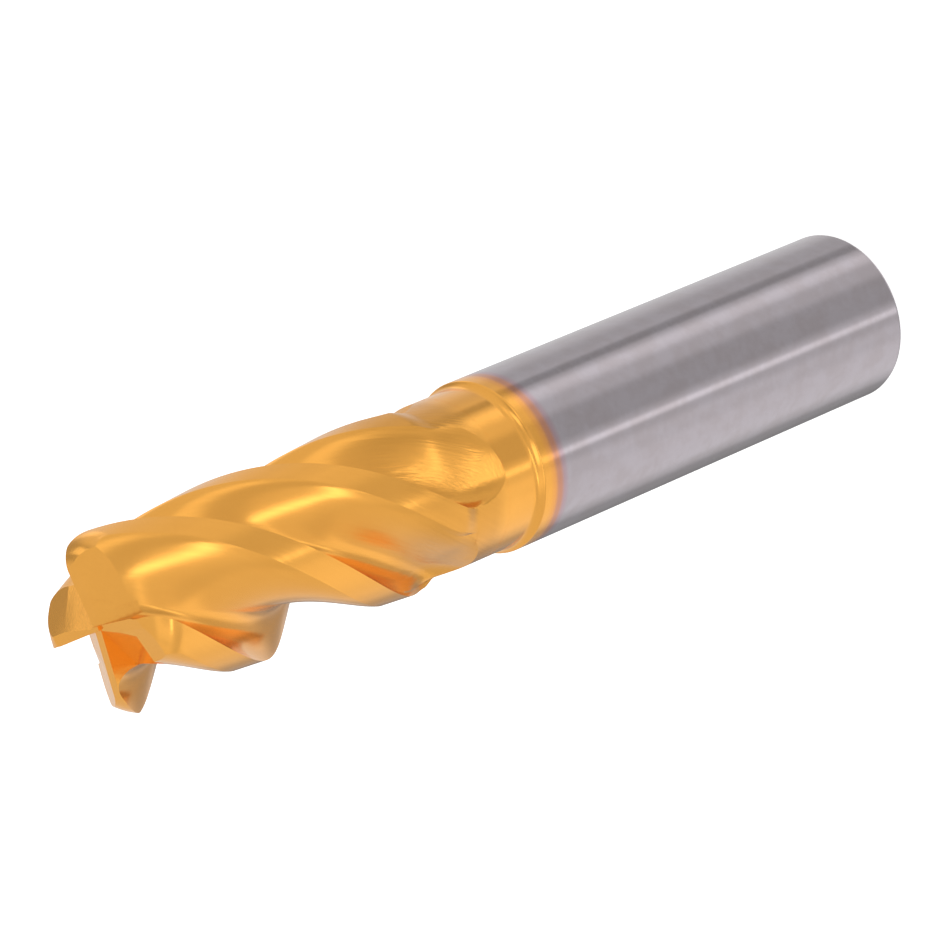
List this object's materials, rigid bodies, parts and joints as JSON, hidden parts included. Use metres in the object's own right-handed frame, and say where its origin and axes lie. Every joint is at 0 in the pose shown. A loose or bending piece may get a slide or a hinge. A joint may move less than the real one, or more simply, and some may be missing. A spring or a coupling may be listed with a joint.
{
  "type": "end mill",
  "caption": "End mill with corner radii, four helical flutes, a relieved neck and a plain cylindrical shank; gold-coloured hard coating on the cutting end.",
  "frame": {"origin": "centre of the shank's end face, on the tool axis", "axes": "+Z along the tool axis from the shank to the cutting end; +X points to where the first tooth's cutting edge, carried on along its helix, meets the tip plane"},
  "size_m": [0.0126, 0.0126, 0.0762],
  "materials": {
    "carbide": "satin ground",
    "coating_edge": "satin, fading to violet",
    "coating": "satin, fine grinding lines"
  },
  "bodies": {
    "root": {"shank": "carbide", "coating_band": "coating_edge", "shoulder": "coating", "neck": "coating", "core": "coating", "tooth_1": "coating", "tooth_2": "coating", "tooth_3": "coating", "tooth_4": "coating"}
  },
  "joints": []
}
